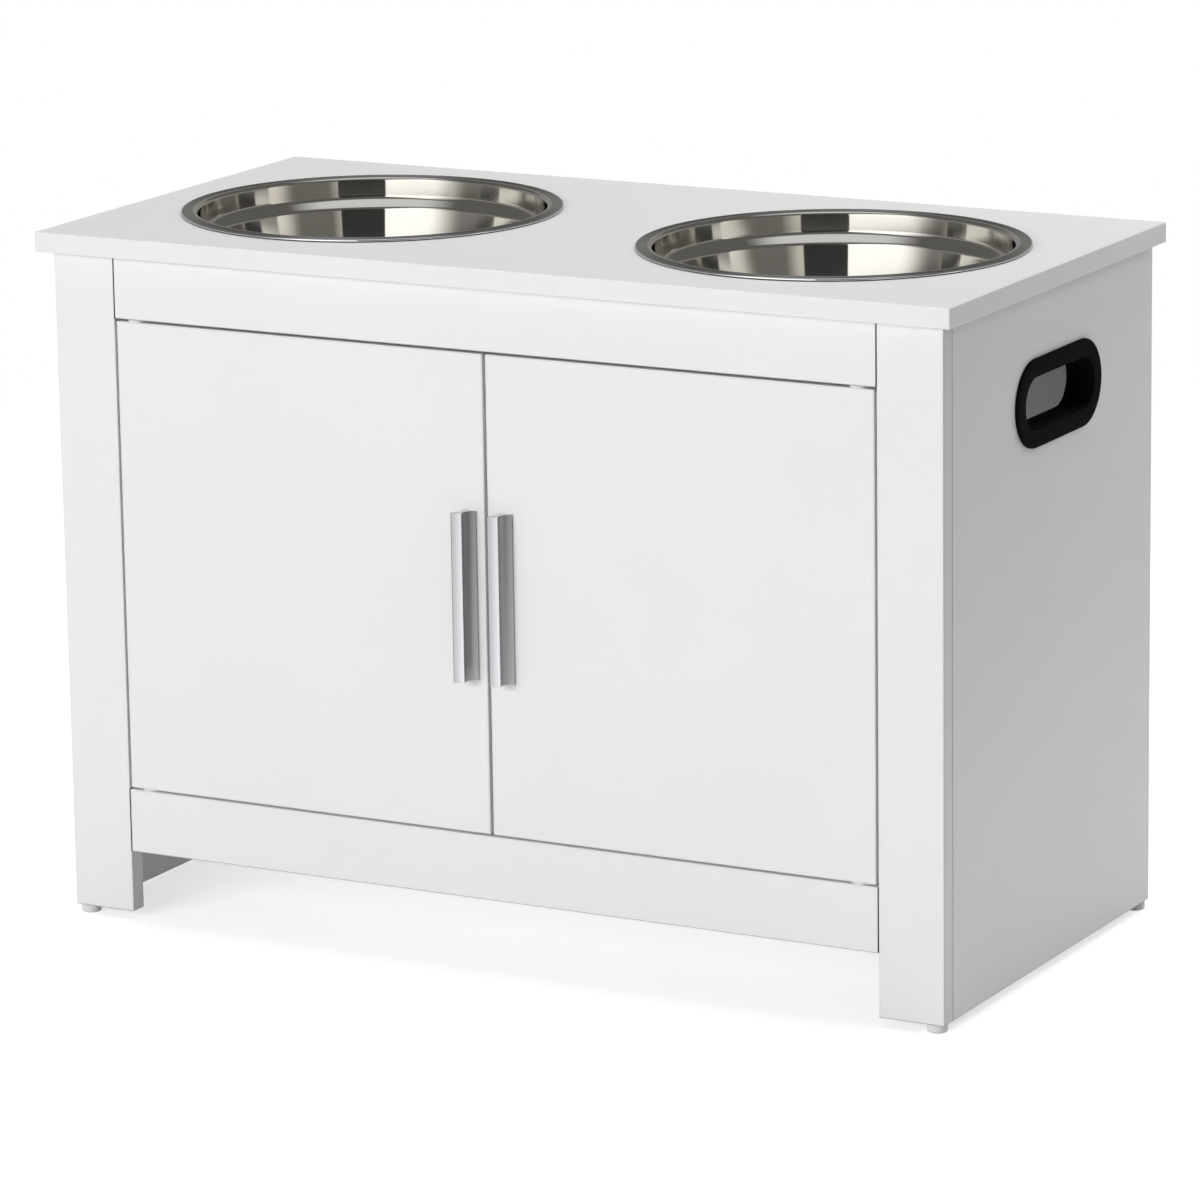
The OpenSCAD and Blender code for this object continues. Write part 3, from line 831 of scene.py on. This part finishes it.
# ---------------------------------------------------------------- Studio
# White paper under the object and plain white behind it for the camera. Metal sees
# a dim room instead, with a pale ceiling, a window and two standing cards. Softboxes
# stand in front, above and behind, and a faint one lights the inside.
CAMERA_AT = (1.7452, -3.2179, 1.0639)
CAMERA_YAW = 28.51
CAMERA_PITCH = 13.368
CAMERA_ROLL = 0.837
LENS = 187.96
WALL_LOW = (0.30, 0.295, 0.28)
WALL_HIGH = (0.15, 0.148, 0.14)
CEILING = (0.88, 0.89, 0.91)
DIM_PATCH = (0.21, 0.205, 0.19)
WINDOW_GLOW = (1.05, 1.02, 0.96)
PALE_PATCH = (0.80, 0.77, 0.70)
KEY_CARD = (1.75, 1.75, 1.72)
FLAG_BLACK = (0.045, 0.045, 0.045)
PLAIN_WHITE = (1.0, 1.0, 1.0)
PAPER_DULL = (0.75, 0.75, 0.75)
PAPER_CLEAN = (0.76, 0.76, 0.76)


def camera():
    """The photograph's view: yaw is to the left, pitch is down, and roll tips the
    camera to the right."""
    yaw, pitch, roll = (math.radians(a) for a in (CAMERA_YAW, CAMERA_PITCH, CAMERA_ROLL))
    level = Vector((-math.sin(yaw), math.cos(yaw), 0))
    forward = level * math.cos(pitch) - Vector((0, 0, math.sin(pitch)))
    right = Vector((math.cos(yaw), math.sin(yaw), 0))
    down = forward.cross(right)
    across = right * math.cos(roll) + down * math.sin(roll)
    downward = down * math.cos(roll) - right * math.sin(roll)
    data = bpy.data.cameras.new("camera")
    data.sensor_width = 36.0
    data.lens = LENS
    data.clip_start, data.clip_end = 0.1, 100.0
    made = bpy.data.objects.new("camera", data)
    bpy.context.scene.collection.objects.link(made)
    turn = Matrix((across, -downward, -forward)).transposed().to_4x4()
    made.matrix_world = Matrix.Translation(CAMERA_AT) @ turn
    bpy.context.scene.camera = made


def softbox(name, spot, aim, size, watts):
    """A soft lamp that lights the object and can't itself be seen or mirrored."""
    data = bpy.data.lights.new(name, "AREA")
    data.shape = "RECTANGLE"
    data.size, data.size_y = size
    data.energy = watts
    made = bpy.data.objects.new(name, data)
    bpy.context.scene.collection.objects.link(made)
    made.location = spot
    made.rotation_mode = "QUATERNION"
    made.rotation_quaternion = (Vector(aim) - Vector(spot)).to_track_quat("-Z", "Y")
    made.visible_camera = False
    made.visible_glossy = False


def seen_rays(tree):
    """Two masks: where the camera, metal or glass looks at a thing, and where only
    metal does. Both are 0 for plain light."""
    rays = add_node(tree, "LightPath", {}, {}).socket.node.outputs
    straight, glossy, through = (
        Wire(rays[kind]) for kind in ("Is Camera Ray", "Is Glossy Ray", "Is Transmission Ray")
    )
    return most([straight, glossy, through]), glossy


def glowing(tree, kind, colour, strength=1.0):
    """An even glow, as a Background for the world or as Emission for anything else."""
    return add_node(tree, kind, {}, {"Color": rgba(colour), "Strength": strength})


def surround():
    """White all round for the camera, a little fill light for the object, and for metal
    a room: bearing is the compass direction in degrees, from the back to the right."""
    world = bpy.data.worlds.new("studio")
    bpy.context.scene.world = world
    world.use_nodes = True
    tree = world.node_tree
    tree.nodes.clear()
    x, y, up = apart(add_node(tree, "TexCoord", {}, {}, "Generated"))
    bearing = x.math("ARCTAN2", y) * math.degrees(1)
    low_down = 1 - up.smooth(0.3, 0.4)
    window = bearing.smooth(75.0, 77.0) * (1 - bearing.smooth(78.0, 97.0))
    dim_patch = bearing.near(105.0, 14.0, 4.0)
    beside_flag = bearing.smooth(120.0, 131.0) * (1 - bearing.smooth(133.0, 134.0))
    room = blend(up.smooth(0.28, 0.42), WALL_LOW, WALL_HIGH)
    room = blend(up.smooth(0.86, 0.965), room, CEILING)
    room = blend(dim_patch * low_down, room, DIM_PATCH)
    room = blend(window * low_down, room, WINDOW_GLOW)
    room = blend(beside_flag * low_down, room, PALE_PATCH)
    seen, glossy = seen_rays(tree)
    fill = glowing(tree, "Background", PLAIN_WHITE, 0.26)
    white = glowing(tree, "Background", PLAIN_WHITE)
    studio = glowing(tree, "Background", room)
    shown = add_node(tree, "MixShader", {}, {0: seen, 1: fill, 2: white})
    shown = add_node(tree, "MixShader", {}, {0: glossy, 1: shown, 2: studio})
    add_node(tree, "OutputWorld", {}, {"Surface": shown})


def card(name, start, end, top, colour, edge_colour):
    """A card that stands a little over the floor between two of its points, and that
    only metal can see. It turns to its edge's colour on the way to its end."""
    bottom = 0.25
    length = math.dist(start, end)
    material, tree = blank(name)
    x, y, _ = apart(place(tree))
    x, y = x - start[0], y - start[1]
    from_start = (x * x + y * y).math("SQRT")
    tone = blend(from_start.smooth(0.72 * length, length), colour, edge_colour)
    add_node(tree, "OutputMaterial", {}, {"Surface": glowing(tree, "Emission", tone)})
    corners = [(*start, bottom), (*end, bottom), (*end, top), (*start, top)]
    made = make_piece(name, corners, [(0, 1, 2, 3)], material)
    made.visible_camera = made.visible_diffuse = made.visible_shadow = False
    made.visible_transmission = made.visible_volume_scatter = False


def studio_floor():
    """Matt white paper, a little brighter where it is looked at. Further out it ends in
    plain white for the camera, and to the right in the room's grey for metal."""
    half = 30.0
    material, tree = blank("studio_floor")
    where = place(tree)
    x, y, _ = apart(where)
    away = (x * x + y * y).math("SQRT")
    tone = blend(grain(where, 3.0, 2.0), PAPER_DULL, PAPER_CLEAN)
    paper = add_node(
        tree, "BsdfPrincipled", {},
        {"Base Color": tone, "Roughness": 0.9, "Specular IOR Level": 0.0},
    )
    seen, glossy = seen_rays(tree)
    lifted = add_node(
        tree, "AddShader", {}, {0: paper, 1: glowing(tree, "Emission", PLAIN_WHITE, 0.62)}
    )
    white = glowing(tree, "Emission", PLAIN_WHITE)
    grey = glowing(tree, "Emission", WALL_LOW)
    shown = add_node(tree, "MixShader", {}, {0: seen, 1: paper, 2: lifted})
    shown = add_node(tree, "MixShader", {}, {0: away.smooth(0.60, 1.7) * seen, 1: shown, 2: white})
    shown = add_node(tree, "MixShader", {}, {0: x.smooth(0.40, 0.85) * glossy, 1: shown, 2: grey})
    add_node(tree, "OutputMaterial", {}, {"Surface": shown})
    made = make_piece(
        "studio_floor",
        [(-half, -half, 0), (half, -half, 0), (half, half, 0), (-half, half, 0)],
        [(0, 1, 2, 3)], material,
    )


camera()
surround()
studio_floor()
card(
    "key_front", start=(0.98, -2.90), end=(-1.02, -1.00), top=2.2,
    colour=KEY_CARD, edge_colour=WALL_LOW,
)
card(
    "black_flag", start=(0.98, -2.90), end=(1.45, -1.17), top=1.7,
    colour=FLAG_BLACK, edge_colour=FLAG_BLACK,
)
softbox("key", spot=(-1.1, -4.6, 1.5), aim=(0, 0, 0.22), size=(2.8, 1.6), watts=137.0)
softbox("overhead", spot=(0.0, 0.6, 3.0), aim=(0, 0, 0.4), size=(2.0, 1.6), watts=43.0)
softbox("back_right", spot=(0.9, 0.8, 1.05), aim=(0.29, 0.12, 0.38), size=(0.5, 0.5), watts=3.5)
softbox("inside", spot=(0.0, -0.05, 0.10), aim=(0, 0.14, 0.32), size=(0.45, 0.12), watts=0.22)

bpy.context.scene.view_settings.view_transform = "Standard"
